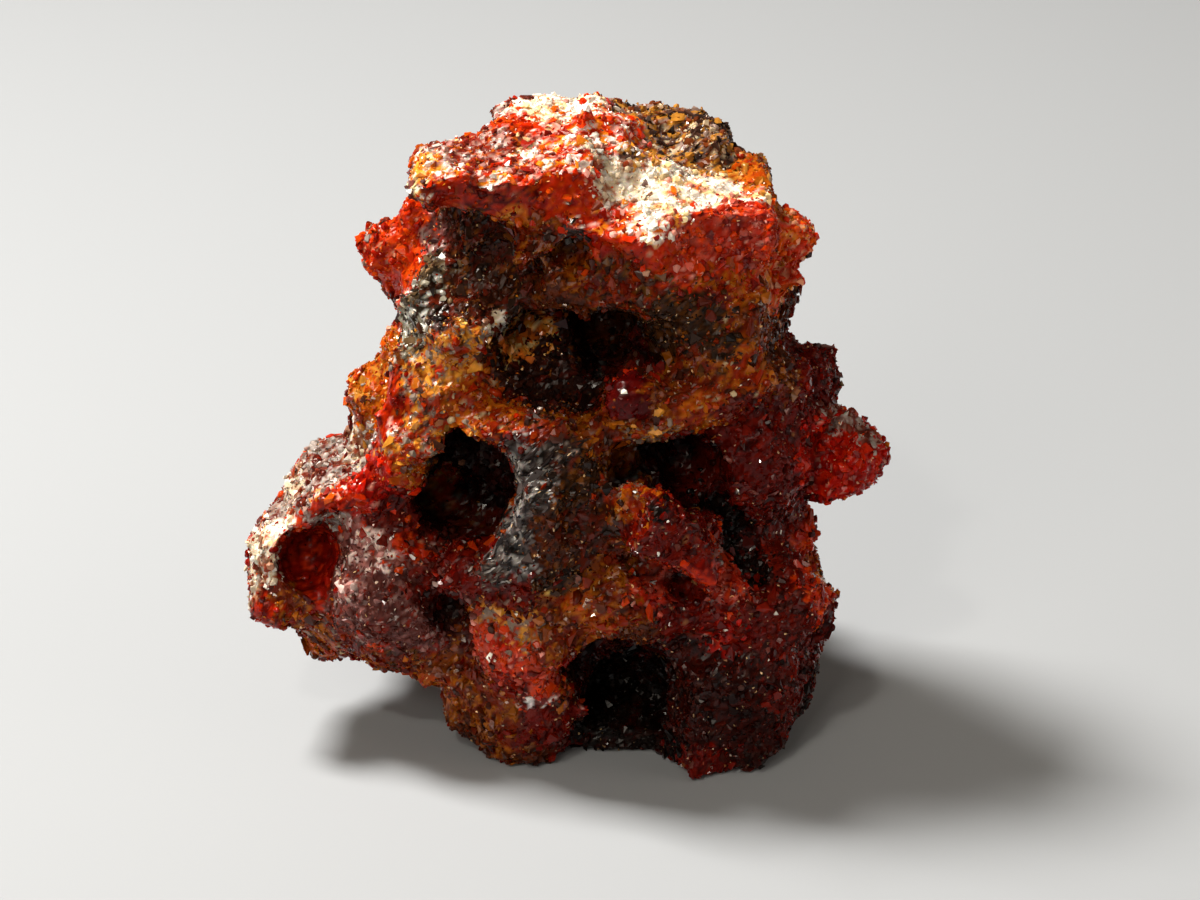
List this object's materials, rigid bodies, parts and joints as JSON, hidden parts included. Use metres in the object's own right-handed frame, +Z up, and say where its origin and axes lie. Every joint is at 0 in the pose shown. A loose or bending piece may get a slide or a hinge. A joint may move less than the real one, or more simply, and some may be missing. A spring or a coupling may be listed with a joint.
{
  "type": "zincite cluster",
  "caption": "Craggy natural lump of red, amber and dark zincite crystals with open vugs, standing on its own flat-worn feet.",
  "frame": {"origin": "middle of the bounding box, at the level that the feet stand on", "axes": "+Z up; -Y out of the face with the open vugs; the knob of crimson crystals points to +X"},
  "size_m": [0.0492, 0.0348, 0.05],
  "materials": {
    "zincite": "satin"
  },
  "bodies": {
    "root": {"zincite_cluster": "zincite"}
  },
  "joints": []
}
